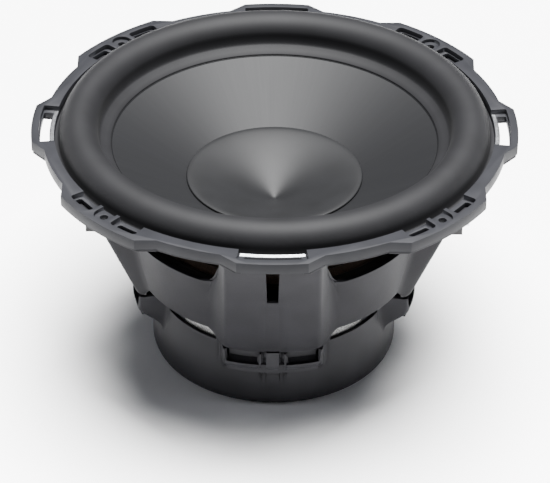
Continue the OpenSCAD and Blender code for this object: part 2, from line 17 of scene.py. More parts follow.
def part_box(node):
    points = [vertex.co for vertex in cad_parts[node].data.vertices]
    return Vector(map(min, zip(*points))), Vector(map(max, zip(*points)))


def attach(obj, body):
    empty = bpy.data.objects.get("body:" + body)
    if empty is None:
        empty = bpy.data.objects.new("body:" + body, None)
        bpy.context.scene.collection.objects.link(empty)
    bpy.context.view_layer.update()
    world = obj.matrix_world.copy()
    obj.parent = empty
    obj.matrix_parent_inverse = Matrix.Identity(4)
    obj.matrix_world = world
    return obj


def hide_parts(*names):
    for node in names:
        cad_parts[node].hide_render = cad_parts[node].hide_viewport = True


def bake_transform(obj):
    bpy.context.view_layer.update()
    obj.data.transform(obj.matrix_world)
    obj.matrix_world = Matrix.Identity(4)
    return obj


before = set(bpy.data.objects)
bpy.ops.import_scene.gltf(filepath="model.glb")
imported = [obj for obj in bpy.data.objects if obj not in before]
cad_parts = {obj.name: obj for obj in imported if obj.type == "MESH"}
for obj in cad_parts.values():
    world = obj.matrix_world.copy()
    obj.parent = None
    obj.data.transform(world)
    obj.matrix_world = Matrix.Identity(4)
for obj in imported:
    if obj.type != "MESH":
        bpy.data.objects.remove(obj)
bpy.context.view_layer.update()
mm = 0.001
top_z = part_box("trim_ring")[1].z
print("trim's top face is", round(top_z / mm, 1), "mm above the floor")

# %% [markdown]
# The design gives heights as depths below the trim's top face, so the lesson does too. A piece
# is written down as (radius, depth) or (x, y, depth) in millimetres, and these two helpers turn
# such numbers into points of the scene.

# %% Points from depths


def at_depth(depth):
    """Height of a point that lies a depth in millimetres below the trim's top face."""
    return top_z - depth * mm


def point(x, y, depth):
    return Vector((x * mm, y * mm, at_depth(depth)))


def depth_of(z):
    return (top_z - z) / mm


outer_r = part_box("trim_ring")[1].x / mm
plate_h = depth_of(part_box("top_plate")[1].z)
base_h = depth_of(0)
print("outer radius", round(outer_r, 1), "top plate at depth", round(plate_h, 1))

# %% [markdown]
# ## Camera
#
# A long lens from almost two metres away looks down on the driver at a third of a right angle.
# The axis passes a little under the middle of the trim, so that the lens needs no shift.

# %% Place the camera
camera_distance = 1.9963
camera_tilt = math.radians(34.6)
camera_turn = math.radians(0.331)
camera_roll = math.radians(0.311)
aim = Vector((0.0006, 0, 0.0791))
ahead = Vector((-math.sin(camera_turn), math.cos(camera_turn), 0))
camera = bpy.data.objects.new("camera", bpy.data.cameras.new("camera"))
camera.data.sensor_width = 36
camera.data.lens = 188.65
camera.location = aim + camera_distance * (
    Vector((0, 0, math.sin(camera_tilt))) - ahead * math.cos(camera_tilt))
look = (aim - camera.location).to_track_quat("-Z", "Y").to_matrix().to_4x4()
camera.matrix_world = (Matrix.Translation(camera.location) @ look
                       @ Matrix.Rotation(camera_roll, 4, "Z"))
bpy.context.scene.collection.objects.link(camera)
bpy.context.scene.camera = camera
print("camera at", [round(c, 3) for c in camera.location])

# %% [markdown]
# ## Studio
#
# A pale floor without a horizon, one wide soft box overhead and two weak strips at the sides.
# The driver is nearly black, so the box overhead is strong and its coatings are kept very dark.
# The world adds only a little light, so that the front keeps its depth.

# %% Floor, world and lights


def plain_material(name, colour, roughness):
    made = bpy.data.materials.new(name)
    made.use_nodes = True
    shader = made.node_tree.nodes["Principled BSDF"]
    shader.inputs["Base Color"].default_value = (*colour, 1)
    shader.inputs["Roughness"].default_value = roughness
    return made


def soft_box(name, place, target, size, watts, tint=(1, 1, 1)):
    """A rectangular area light that faces a target."""
    light = bpy.data.lights.new(name, "AREA")
    light.shape = "RECTANGLE"
    light.size, light.size_y = size
    light.energy = watts
    light.color = tint
    lamp = bpy.data.objects.new(name, light)
    lamp.location = place
    lamp.rotation_euler = (Vector(target) - Vector(place)).to_track_quat("-Z", "Y").to_euler()
    bpy.context.scene.collection.objects.link(lamp)


studio_r = 12
bm = bmesh.new()
bmesh.ops.create_circle(bm, cap_ends=True, segments=96, radius=studio_r)
floor_mesh = bpy.data.meshes.new("studio_floor")
bm.to_mesh(floor_mesh)
bm.free()
floor = bpy.data.objects.new("studio_floor", floor_mesh)
floor_mesh.materials.append(plain_material("pale floor", (0.92, 0.92, 0.92), 0.9))
bpy.context.scene.collection.objects.link(floor)

world = bpy.data.worlds.new("studio")
world.use_nodes = True
world.node_tree.nodes["Background"].inputs["Color"].default_value = (0.90, 0.93, 1.0, 1)
world.node_tree.nodes["Background"].inputs["Strength"].default_value = 0.07
bpy.context.scene.world = world

middle = (0, 0, 0.12)
soft_box("top_box", (0.25, 0.25, 3.9), middle, (2.9, 2.5), 1750)
soft_box("left_strip", (-2.4, -0.6, 0.9), middle, (0.6, 1.6), 12, (0.92, 0.93, 1.0))
soft_box("right_strip", (2.4, -0.6, 0.9), middle, (0.6, 1.6), 10, (0.92, 0.93, 1.0))

# %% [markdown]
# ## Finishes
#
# Every finish is a Principled shader with a fine pattern in its colour and its bump, and on
# most of them in the roughness too. Patterns read Object coordinates, which are metres in the
# driver's own frame, so a grain given in millimetres has its true size on every piece.

# %% A helper for node trees


class Finish:
    """A material under construction: its node tree and the Principled shader."""

    def __init__(self, name, colour, roughness, metallic=0.0):
        self.material = plain_material(name, colour, roughness)
        self.tree = self.material.node_tree
        self.shader = self.tree.nodes["Principled BSDF"]
        self.shader.inputs["Metallic"].default_value = metallic
        self.place = self.add("ShaderNodeTexCoord").outputs["Object"]

    def add(self, kind, **settings):
        """A new node. Settings name a property of the node or one of its sockets."""
        node = self.tree.nodes.new(kind)
        for key, value in settings.items():
            if hasattr(node, key):
                setattr(node, key, value)
            else:
                node.inputs[key.replace("_", " ").title()].default_value = value
        return node

    def join(self, source, socket):
        self.tree.links.new(source, socket)

    def maths(self, operation, *values):
        node = self.add("ShaderNodeMath", operation=operation)
        for socket, value in zip(node.inputs, values):
            if isinstance(value, (int, float)):
                socket.default_value = value
            else:
                self.join(value, socket)
        return node.outputs[0]

    def noise(self, grain, detail=3.0, where=None):
        """Noise whose blotches are grain millimetres across."""
        node = self.add("ShaderNodeTexNoise", scale=1 / (grain * mm), detail=detail)
        self.join(where or self.place, node.inputs["Vector"])
        return node.outputs["Fac"]

    def ring_place(self, across, along):
        """Coordinates for marks that run outwards: across is how fine they are round the axis."""
        parts = self.add("ShaderNodeSeparateXYZ")
        self.join(self.place, parts.inputs[0])
        x, y = parts.outputs[0], parts.outputs[1]
        flat = self.add("ShaderNodeCombineXYZ")
        self.join(x, flat.inputs[0])
        self.join(y, flat.inputs[1])
        turned = self.add("ShaderNodeVectorMath", operation="NORMALIZE")
        self.join(flat.outputs[0], turned.inputs[0])
        spread = self.add("ShaderNodeVectorMath", operation="SCALE")
        self.join(turned.outputs[0], spread.inputs[0])
        spread.inputs["Scale"].default_value = across
        reach = self.add("ShaderNodeVectorMath", operation="LENGTH")
        self.join(flat.outputs[0], reach.inputs[0])
        lift = self.maths("MULTIPLY", reach.outputs["Value"], along)
        out = self.add("ShaderNodeCombineXYZ")
        split = self.add("ShaderNodeSeparateXYZ")
        self.join(spread.outputs[0], split.inputs[0])
        self.join(split.outputs[0], out.inputs[0])
        self.join(split.outputs[1], out.inputs[1])
        self.join(lift, out.inputs[2])
        return out.outputs[0]

    def tint(self, pattern, dark, light, low=0.3, high=0.7):
        """Colour that follows a pattern between two shades."""
        ramp = self.add("ShaderNodeValToRGB")
        ramp.color_ramp.elements[0].position = low
        ramp.color_ramp.elements[1].position = high
        ramp.color_ramp.elements[0].color = (*dark, 1)
        ramp.color_ramp.elements[1].color = (*light, 1)
        self.join(pattern, ramp.inputs[0])
        self.join(ramp.outputs[0], self.shader.inputs["Base Color"])

    def polish(self, pattern, smooth, rough):
        """Roughness that follows a pattern."""
        span = self.add("ShaderNodeMapRange")
        span.inputs["To Min"].default_value = smooth
        span.inputs["To Max"].default_value = rough
        self.join(pattern, span.inputs["Value"])
        self.join(span.outputs[0], self.shader.inputs["Roughness"])

    def relief(self, pattern, height, strength=0.6):
        """Bumps of a given height in millimetres."""
        bump = self.add("ShaderNodeBump", strength=strength, distance=height * mm)
        self.join(pattern, bump.inputs["Height"])
        self.join(bump.outputs[0], self.shader.inputs["Normal"])


def shade(colour, factor):
    return tuple(min(c * factor, 1.0) for c in colour)


finishes = {}
print("finish helper is ready")

# %% [markdown]
# The mouldings and coatings come first. They are one family: a near-black colour that varies a
# little, a satin roughness and a fine pebble. What tells them apart is the size of the pebble
# and how much they shine.

# %% Coatings, mouldings and rubber


def satin(slot, colour, roughness, grain, height, variation=0.14, sheen=0.0, gloss=0.22):
    """A pebbled satin surface, such as powder coat, moulded plastic or rubber."""
    f = Finish(slot, colour, roughness)
    f.shader.inputs["Specular IOR Level"].default_value = gloss
    cloud = f.noise(22, 2.0)
    pebble = f.noise(grain, 4.0)
    f.tint(cloud, shade(colour, 1 - variation), shade(colour, 1 + variation))
    f.polish(pebble, roughness - 0.05, roughness + 0.07)
    f.relief(pebble, height)
    if sheen:
        f.shader.inputs["Sheen Weight"].default_value = sheen
        f.shader.inputs["Sheen Roughness"].default_value = 0.5
    finishes[slot] = f.material


satin("trim", (0.0100, 0.0102, 0.0118), 0.50, 0.7, 0.02, gloss=0.08)
satin("basket", (0.0110, 0.0109, 0.0123), 0.55, 1.3, 0.09, gloss=0.06)
satin("cover", (0.0150, 0.0149, 0.0168), 0.50, 0.6, 0.02, gloss=0.09)
satin("surround", (0.0042, 0.0042, 0.0048), 0.62, 0.5, 0.02, sheen=0.01, gloss=0.12)
satin("dust_cap", (0.0042, 0.0043, 0.0047), 0.50, 0.6, 0.01, gloss=0.13)
satin("terminal_plastic", (0.0050, 0.0050, 0.0053), 0.42, 0.5, 0.012)
satin("neck_ring", (0.0045, 0.0045, 0.0045), 0.35, 3.0, 0.2)
satin("gasket", (0.0050, 0.0050, 0.0052), 0.88, 0.8, 0.15)
satin("screen", (0.0060, 0.0060, 0.0064), 0.42, 0.8, 0.03)
satin("dark_screw", (0.0120, 0.0120, 0.0130), 0.36, 0.5, 0.012)
satin("landing_board", (0.0160, 0.0140, 0.0120), 0.80, 0.5, 0.05, 0.25)
satin("ferrite", (0.0180, 0.0180, 0.0190), 0.55, 0.6, 0.02, 0.2)
print("satin finishes:", len(finishes))

# %% [markdown]
# The cone is brushed from the middle outwards. The marks are noise that is stretched along the
# radius: its coordinates are the direction from the axis, times a large number, and the radius,
# times a small one. A direction has no seam, where an angle would have one.

# %% Brushed cone
cone_colour = (0.0042, 0.0043, 0.0048)
f = Finish("cone", cone_colour, 0.55)
f.shader.inputs["Specular IOR Level"].default_value = 0.14
brushed = f.noise(1000, 4.0, f.ring_place(260, 18))
broad = f.noise(1000, 2.0, f.ring_place(40, 8))
f.tint(f.maths("ADD", f.maths("MULTIPLY", brushed, 0.6), f.maths("MULTIPLY", broad, 0.4)),
       shade(cone_colour, 0.86), shade(cone_colour, 1.16))
f.polish(brushed, 0.50, 0.60)
f.relief(brushed, 0.02, 0.5)
finishes["cone"] = f.material
print("cone brushed with", len(f.tree.nodes), "nodes")

# %% [markdown]
# Bare metals. Zinc plating breaks up into small bright and dull crystals, so its pattern is a
# Voronoi cell colour rather than smooth noise. Wound wire is a row of fine waves down the coil.

# %% Metals and cloth


def metal(slot, colour, roughness, grain=1.2):
    f = Finish(slot, colour, roughness, metallic=1.0)
    mottle = f.noise(grain, 5.0)
    f.tint(mottle, shade(colour, 0.75), shade(colour, 1.1))
    f.polish(mottle, roughness - 0.06, roughness + 0.12)
    f.relief(mottle, 0.01, 0.4)
    finishes[slot] = f.material


metal("aluminium", (0.66, 0.67, 0.69), 0.34)
metal("bright_screw", (0.60, 0.61, 0.63), 0.28)
metal("contact_brass", (0.74, 0.56, 0.27), 0.30)
metal("button", (0.62, 0.63, 0.66), 0.27, 0.4)

zinc_colour = (0.085, 0.085, 0.083)
f = Finish("zinc_steel", zinc_colour, 0.5, metallic=0.6)
crystals = f.add("ShaderNodeTexVoronoi", scale=1 / (1.1 * mm))
f.join(f.place, crystals.inputs["Vector"])
speckle = f.maths("ADD", f.maths("MULTIPLY", crystals.outputs["Distance"], 0.7),
                  f.maths("MULTIPLY", f.noise(0.7, 4.0), 0.5))
f.tint(speckle, shade(zinc_colour, 0.35), shade(zinc_colour, 2.2), 0.35, 0.75)
f.polish(speckle, 0.34, 0.66)
f.relief(speckle, 0.05)
finishes["zinc_steel"] = f.material


def banded(slot, colour, roughness, pitch, height, axis="Z", metallic=0.0):
    """Fine parallel ridges along an axis, such as wound wire or a braid."""
    f = Finish(slot, colour, roughness, metallic=metallic)
    ridges = f.add("ShaderNodeTexWave", wave_type="BANDS", bands_direction=axis,
                   scale=math.pi / 10 / (pitch * mm), distortion=0.6)
    f.join(f.place, ridges.inputs["Vector"])
    f.tint(ridges.outputs["Fac"], shade(colour, 0.55), shade(colour, 1.15), 0.1, 0.8)
    f.relief(ridges.outputs["Fac"], height)
    finishes[slot] = f.material


banded("copper_wire", (0.62, 0.27, 0.11), 0.30, 0.55, 0.25, metallic=0.85)
banded("tinsel", (0.56, 0.33, 0.16), 0.38, 1.3, 0.3, "DIAGONAL", metallic=0.7)

# the spider's cloth has threads that run outwards and threads that run round
cloth_colour = (0.060, 0.032, 0.015)
f = Finish("spider", cloth_colour, 0.82)
outward = f.noise(1000, 2.0, f.ring_place(420, 60))
round_about = f.noise(0.9, 2.0)
weave = f.maths("MULTIPLY", outward, round_about)
f.tint(weave, shade(cloth_colour, 0.45), shade(cloth_colour, 1.5), 0.12, 0.42)
f.relief(weave, 0.25)
f.shader.inputs["Sheen Weight"].default_value = 0.2
finishes["spider"] = f.material
print("finishes:", sorted(finishes))

# %% [markdown]
# ## Shaping helpers
#
# Turned parts come from a spun outline, folded parts from a grid that is bent into place, and
# hard little parts from a merged copy of the CAD mesh whose outside edges are bevelled. Each
# helper returns a bmesh, and `settle` makes an object of it and parents it to a body.

# %% Spin, copy, soften and settle


def arc(r_mid, depth_mid, radius, start, end, steps):
    """Points of an arc in the (radius, depth) plane. Angles are in degrees, 90 is up."""
    turns = [math.radians(start + (end - start) * i / steps) for i in range(steps + 1)]
    return [(r_mid + radius * math.cos(t), depth_mid - radius * math.sin(t)) for t in turns]


def lathe(outline, steps=180, closed=True):
    """Spins (radius, depth) points about the driver's axis."""
    bm = bmesh.new()
    spots = [bm.verts.new(point(r, 0, d)) for r, d in outline]
    ends = zip(spots, spots[1:] + spots[:1]) if closed else zip(spots, spots[1:])
    edges = [bm.edges.new(pair) for pair in ends]
    bmesh.ops.spin(bm, geom=spots + edges, axis=(0, 0, 1), cent=(0, 0, 0), dvec=(0, 0, 0),
                   angle=math.tau, steps=steps, use_merge=True)
    bmesh.ops.remove_doubles(bm, verts=bm.verts, dist=1e-6)
    # an outline edge that lies on the axis spins into nothing
    bmesh.ops.delete(bm, geom=[e for e in bm.edges if e.is_wire], context="EDGES")
    bmesh.ops.recalc_face_normals(bm, faces=bm.faces)
    return bm


def joined(*parts):
    """One bmesh from several."""
    whole = bmesh.new()
    for part in parts:
        spare = bpy.data.meshes.new("spare")
        part.to_mesh(spare)
        part.free()
        whole.from_mesh(spare)
        bpy.data.meshes.remove(spare)
    return whole


def sectors(outline, start, end, turns=(0, 90, 180, 270)):
    """Spins an outline between two angles, closes its ends and copies it to several turns."""
    bm = bmesh.new()
    spots = [bm.verts.new(point(r, 0, d)) for r, d in outline]
    face = bm.faces.new(spots)
    bmesh.ops.rotate(bm, verts=spots, cent=(0, 0, 0),
                     matrix=Matrix.Rotation(math.radians(start), 3, "Z"))
    bmesh.ops.spin(bm, geom=[face], axis=(0, 0, 1), cent=(0, 0, 0), dvec=(0, 0, 0),
                   angle=math.radians(end - start), steps=24)
    bmesh.ops.recalc_face_normals(bm, faces=bm.faces)
    parts = []
    for turn in turns:
        part = bm.copy()
        bmesh.ops.rotate(part, verts=part.verts, cent=(0, 0, 0),
                         matrix=Matrix.Rotation(math.radians(turn), 3, "Z"))
        parts.append(part)
    bm.free()
    return joined(*parts)


def copy_of(node):
    """A merged copy of a CAD node with its flat faces whole again."""
    bm = bmesh.new()
    bm.from_mesh(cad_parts[node].data)
    bmesh.ops.remove_doubles(bm, verts=bm.verts, dist=2e-6)
    bmesh.ops.dissolve_limit(bm, angle_limit=math.radians(0.4), verts=bm.verts, edges=bm.edges)
    return bm


def soften(bm, width):
    """Bevels the outside edges that turn by more than 35 degrees."""
    limit = math.radians(35)
    edges = [e for e in bm.edges if e.is_manifold and e.is_convex
             and e.calc_face_angle(0) > limit]
    bmesh.ops.bevel(bm, geom=edges, offset=width * mm, offset_type="OFFSET", segments=2,
                    profile=0.5, affect="EDGES", material=-1, clamp_overlap=True)
    return bm


def settle(bm, name, finish, body, *nodes, sharp=40):
    """Makes the object, gives it its finish and lets it ride on a body in the nodes' place."""
    mesh = bpy.data.meshes.new(name)
    bm.to_mesh(mesh)
    bm.free()
    mesh.materials.append(finishes[finish])
    mesh.shade_smooth()
    mesh.set_sharp_from_angle(angle=math.radians(sharp))
    piece = bpy.data.objects.new(name, mesh)
    bpy.context.scene.collection.objects.link(piece)
    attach(piece, body)
    if nodes:
        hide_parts(*nodes)
    print(name, len(mesh.polygons), "faces")
    return piece


print("helpers are ready")

# %% [markdown]
# ## The soft parts that the cone pulls along
#
# The surround, the spider and the leads join the cone to the basket, so they stretch when it
# moves. Here each one is only taken off its body and has its place baked into its mesh.

# %% Take the soft parts off their bodies


def stretch(piece):
    """Takes a piece off its body and bakes its place into its mesh."""
    piece.parent = None
    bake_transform(piece)
    spots = np.zeros(len(piece.data.vertices) * 3)
    piece.data.vertices.foreach_get("co", spots)
    return piece


# %% [markdown]
# ## Surround
#
# A half roll of rubber. Its outer foot is clamped under the trim, and its inner flank runs out
# in a flat landing that is glued to the cone. The roll is one arc spun round the axis. A small
# curve at its inner foot keeps the light from breaking at a hard corner.

# %% Spin the surround
roll_r = 13.0
rubber_t = 1.8
trim_in_r = outer_r - 15.5
roll_mid_r = trim_in_r - 3.5 - roll_r
roll_mid_h = 2.0
landing_r = roll_mid_r - roll_r - 8.4
neck_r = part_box("cone")[1].x / mm
cone_top = depth_of(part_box("cone")[1].z)
cone_foot = depth_of(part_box("cone")[0].z)
neck_in_r = 32.65
cone_t = 1.3
cone_slope = (cone_foot - cone_t - cone_top) / (neck_r - neck_in_r)


def cone_depth(r):
    """Depth of the cone's face at a radius."""
    return cone_top + (neck_r - r) * cone_slope


landing_t = 0.8
foot_h = 7.2
foot_t = 1.6
fillet = 1.6
roll_in_r = roll_mid_r - roll_r
inner_turn = 14
outer_turn = 4
knee = cone_depth(roll_in_r) - landing_t
# the landing starts with a thin rounded edge
outline = [(landing_r + 0.25, cone_depth(landing_r) - 0.02),
           (landing_r, cone_depth(landing_r) - 0.3),
           (landing_r + 0.1, cone_depth(landing_r) - landing_t + 0.15),
           (landing_r + 0.45, cone_depth(landing_r + 0.45) - landing_t)]
outline += [(r, cone_depth(r) - landing_t) for r in (landing_r + 3, roll_in_r - fillet * 1.15)]
# the hollow corner between landing and roll, as a Bezier curve
corner_a = Vector((roll_in_r - fillet * 1.15, cone_depth(roll_in_r - fillet * 1.15) - landing_t))
corner_b = Vector((roll_in_r + 0.1, knee))
corner_c = Vector((roll_mid_r - roll_r * math.cos(math.radians(inner_turn)),
                   roll_mid_h - roll_r * math.sin(math.radians(inner_turn))))
for i in range(1, 8):
    t = i / 8
    outline.append(tuple((1 - t) ** 2 * corner_a + 2 * t * (1 - t) * corner_b + t * t * corner_c))
outline += arc(roll_mid_r, roll_mid_h, roll_r, 180 - inner_turn, outer_turn, 30)
outline += [(roll_mid_r + roll_r + 0.15, foot_h - foot_t - 0.8),
            (roll_mid_r + roll_r + 0.9, foot_h - foot_t), (trim_in_r - 0.6, foot_h - foot_t),
            (trim_in_r - 0.6, foot_h), (roll_mid_r + roll_r - rubber_t, foot_h)]
outline += arc(roll_mid_r, roll_mid_h, roll_r - rubber_t, 0, 180, 24)
outline += [(roll_in_r + rubber_t, cone_depth(roll_in_r + rubber_t) - 0.3)]
surround = settle(lathe(outline, 240), "surround_rubber", "surround", "root", "surround",
                  sharp=60)
stretch(surround)

# %% [markdown]
# ## Cone and dust cap
#
# The cone is straight from the neck to its edge, with a fine groove just inside the rubber. The
# dust cap is turned inwards: from a rolled rim it falls gently, and ever more steeply, to a
# point. A power of the distance from the rim draws that curve.

# %% Spin the cone and the cap
groove = landing_r - 0.55
cone_outline = [(neck_in_r, cone_depth(neck_in_r))]
cone_outline += [(r, cone_depth(r)) for r in (50, 70, 90, groove - 0.7)]
cone_outline += [(groove - 0.25, cone_depth(groove) + 0.15), (groove, cone_depth(groove) + 0.55),
                 (groove + 0.3, cone_depth(groove) + 0.1), (groove + 0.6, cone_depth(groove + 0.6)),
                 (neck_r, cone_top), (neck_r, cone_top + cone_t),
                 (neck_in_r, cone_foot)]
settle(lathe(cone_outline, 240), "cone_shell", "cone", "moving_cone", "cone", sharp=50)

cap_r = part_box("dust_cap")[1].x / mm
cap_h = depth_of(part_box("dust_cap")[1].z)
cap_lip = 1.6
cap_sink = 19.0
cap_t = 1.2
cap_curve = 1.35
rim_round = 0.9
blunt = 0.2
glue = 0.05
dish = []
for i in range(29):
    run = i / 28
    dish.append(((cap_r - cap_lip) * (1 - run),
                 cap_h + (cap_sink + cap_lip) * run ** cap_curve))
dish[-1] = (0, dish[-1][1] - blunt)
under = [(r, d + cap_t) for r, d in reversed(dish)]
rim = arc(cap_r - rim_round, cap_h + rim_round, rim_round, -75, 80, 8)
foot = [(r, cone_depth(r) - glue) for r in (cap_r - 2.2, cap_r - 0.7)]
cap_outline = under[:-1] + foot + rim + dish[1:]
settle(lathe(cap_outline, 200, closed=False), "dust_cap_shell", "dust_cap", "moving_cone",
       "dust_cap", sharp=50)

# %% [markdown]
# ## Spider
#
# A disc of woven cloth, pressed into waves, holds the coil in the middle. Its outline is a sine
# wave with flat ends, and the same wave again one cloth thickness lower.

# %% Spin the spider
spider_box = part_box("spider")
spider_r = spider_box[1].x / mm
spider_h = depth_of((spider_box[0].z + spider_box[1].z) / 2)
spider_t = 0.9
wave_t = 2.2
waves = 7
flat_in = neck_in_r + 4
flat_out = spider_r - 8.5
line = [(neck_in_r, spider_h)]
for i in range(waves * 12 + 1):
    run = i / (waves * 12)
    line.append((flat_in + (flat_out - flat_in) * run,
                 spider_h - wave_t * math.sin(math.tau * waves * run)))
line.append((spider_r, spider_h))
both = [(r, d - spider_t / 2) for r, d in line] + [(r, d + spider_t / 2) for r, d in line[::-1]]
spider = settle(lathe(both, 160), "spider_cloth", "spider", "root", "spider", sharp=50)
stretch(spider)

# %% [markdown]
# ## Folded skins
#
# The basket is pressed from one sheet: four wide legs, whose sides fold back into a band that
# runs between them. The moulded boot over the magnet has four feet of the same kind. Both are
# skins whose plan, at any depth, is the same path: across a leg's face, round a fold, back
# along its side, round a hollow corner, and along a round wall to the middle between two legs.
#
# `fold_path` gives that path for an eighth of the circle. A grid is bent so that its columns
# follow the path and its rows run down the skin, and then it is mirrored and copied round.

# %% The path of a folded skin


def bezier(a, b, c, t):
    return (1 - t) ** 2 * a + 2 * t * (1 - t) * b + t * t * c


def on_circle(radius, angle):
    return Vector((radius * math.cos(angle), radius * math.sin(angle)))


def fold_path(face_r, wall_r, half, side, laterals, fold, hollow, counts):
    """Plan points for an eighth of a skin. half and side are the side's distances from the
    leg's middle at the face and at the wall. counts says how many steps the fold, the side,
    the hollow corner and the wall take."""
    corner = Vector((math.sqrt(face_r ** 2 - half ** 2), half))
    root = Vector((math.sqrt(wall_r ** 2 - side ** 2), side))
    room = (corner - root).length * 0.45
    fold, hollow = min(fold, room), min(hollow, room)
    along = (root - corner).normalized()
    path = [on_circle(face_r, math.asin(y / face_r)) for y in laterals]
    fold_from = on_circle(face_r, math.asin(half / face_r) - fold / face_r)
    fold_to = corner + along * fold
    path += [bezier(fold_from, corner, fold_to, i / counts[0]) for i in range(counts[0] + 1)]
    hollow_from = root - along * hollow
    path += [fold_to.lerp(hollow_from, i / counts[1]) for i in range(1, counts[1] + 1)]
    wall_angle = math.asin(side / wall_r) + hollow / wall_r
    hollow_to = on_circle(wall_r, wall_angle)
    path += [bezier(hollow_from, root, hollow_to, i / counts[2]) for i in range(1, counts[2] + 1)]
    path += [on_circle(wall_r, wall_angle + (math.pi / 4 - wall_angle) * i / counts[3])
             for i in range(counts[3] + 1)]
    return path


def bent_grid(columns, rows, place, keep):
    """A grid whose corner (i, j) goes to place(i, j). Faces for which keep is false go."""
    bm = bmesh.new()
    bmesh.ops.create_grid(bm, x_segments=columns, y_segments=rows, size=1)

    def index(co):
        return (co.x + 1) / 2 * columns, (co.y + 1) / 2 * rows

    gone = []
    for face in bm.faces:
        i, j = index(face.calc_center_median())
        if not keep(int(i), int(j)):
            gone.append(face)
    bmesh.ops.delete(bm, geom=gone, context="FACES")
    for vert in bm.verts:
        i, j = index(vert.co)
        vert.co = place(round(i), round(j))
    return bm


def four_legs(bm):
    """Mirrors an eighth about its leg's middle and copies it round to all four legs."""
    bmesh.ops.mirror(bm, geom=bm.verts[:] + bm.edges[:] + bm.faces[:], matrix=Matrix(),
                     merge_dist=1e-5, axis="Y")
    bmesh.ops.spin(bm, geom=bm.verts[:] + bm.edges[:] + bm.faces[:], axis=(0, 0, 1),
                   cent=(0, 0, 0), dvec=(0, 0, 0), angle=math.tau * 3 / 4, steps=3,
                   use_duplicate=True)
    bmesh.ops.remove_doubles(bm, verts=bm.verts, dist=2e-5)
    bmesh.ops.recalc_face_normals(bm, faces=bm.faces)
    return bm


def face_outwards(bm):
    """Turns an open skin so that its faces look away from the axis."""
    outward = sum(f.normal.xy.dot(f.calc_center_median().xy) * f.calc_area() for f in bm.faces)
    if outward < 0:
        bmesh.ops.reverse_faces(bm, faces=bm.faces)
    return bm


def thicken(bm, thickness, edge_width):
    """Gives a skin its wall on the inside, and rounds the wall's edges."""
    mesh = bpy.data.meshes.new("skin")
    bm.to_mesh(mesh)
    bm.free()
    skin = bpy.data.objects.new("skin", mesh)
    bpy.context.scene.collection.objects.link(skin)
    wall = skin.modifiers.new("wall", "SOLIDIFY")
    wall.thickness = thickness * mm
    wall.offset = -1
    edge = skin.modifiers.new("edge", "BEVEL")
    edge.width = edge_width * mm
    edge.segments = 2
    edge.limit_method = "ANGLE"
    edge.angle_limit = math.radians(50)
    walled = skin.evaluated_get(bpy.context.evaluated_depsgraph_get())
    thick = bmesh.new()
    thick.from_mesh(walled.data)
    bpy.data.objects.remove(skin)
    return thick


def smoothly(t):
    t = min(max(t, 0), 1)
    return t * t * (3 - 2 * t)


print("a folded skin is an eighth, eight times")

# %% [markdown]
# ## Basket
#
# Depths and radii of the sheet: the legs drop straight from the flange to a knee and then lean
# in, and the band leans in between them. The window between flange and band ends beside each
# leg, where the skin's edge climbs through the hollow corner up to the flange.

# %% Measures of the basket
wall_r = outer_r - 24
knee_h = 23.5
leg_foot_h = plate_h - 1
leg_foot_r = 99.0
band_top_h, band_foot_h = plate_h - 54, plate_h - 11
band_top_r, band_foot_r = 103.0, 95.0
half_leg = 31.5
flange_foot_h = 9.0
sheet_t = 2.0
floor_r = 74.0
slot_top_h, slot_foot_h = 10.6, band_top_h - 6
slot_half, slot_taper = 4.8, 1.0
groove_depth = 0.7
window_lift = 3.0
terminal_half, terminal_top_h, terminal_foot_h = 20.3, 54.4, 69.6


def leg_r(depth):
    lean = (wall_r - leg_foot_r) / (leg_foot_h - knee_h)
    soft = 6
    over = depth - knee_h
    if abs(over) < soft:
        over = (over + soft) ** 2 / (4 * soft)
    return wall_r - max(over, 0) * lean


def band_r(depth):
    """Radius of the band, and above it of the inner edge of a leg's side."""
    if depth > band_top_h:
        return band_foot_r + (band_top_r - band_foot_r) * (band_foot_h - depth) / (
            band_foot_h - band_top_h)
    return float(np.interp(depth, [flange_foot_h, 25, 49, band_top_h],
                           [wall_r - 8.7, wall_r - 10.5, band_top_r + 8, band_top_r]))


print("leg leans from", wall_r, "to", leg_foot_r, "mm; band from", band_top_r, "to", band_foot_r)

# %% [markdown]
# The grid's columns are spent where the plan turns: nine on half a leg's face, and a few on the
# fold, the side, the hollow corner and the band. Rows and columns also run along the edges of
# the slot, of the groove below it and of the openings for the terminals, so that these can be
# cut by leaving faces out.

# %% Bend the basket's skin
basket_counts = (6, 4, 6, 14)
face_columns = 9
fold_end = face_columns + basket_counts[0] + 1
side_end = fold_end + basket_counts[1]
hollow_end = side_end + basket_counts[2]
columns = hollow_end + basket_counts[3]
row_depths = [flange_foot_h, slot_top_h, 14, 18, 22, 26, 31, 37, 43, 49, terminal_top_h,
              slot_foot_h, 61, 65, terminal_foot_h, 76, 84, 92, 100, 108, 113, leg_foot_h]
row_shares = [(d - flange_foot_h) / (leg_foot_h - flange_foot_h) for d in row_depths]
slot_rows = (1, 11)


def basket_laterals(depth):
    half_slot = slot_half - slot_taper * smoothly(depth / slot_foot_h)
    return [0, half_slot * 0.5, half_slot, 5.2, 6.2, 11, 16, terminal_half, 25]


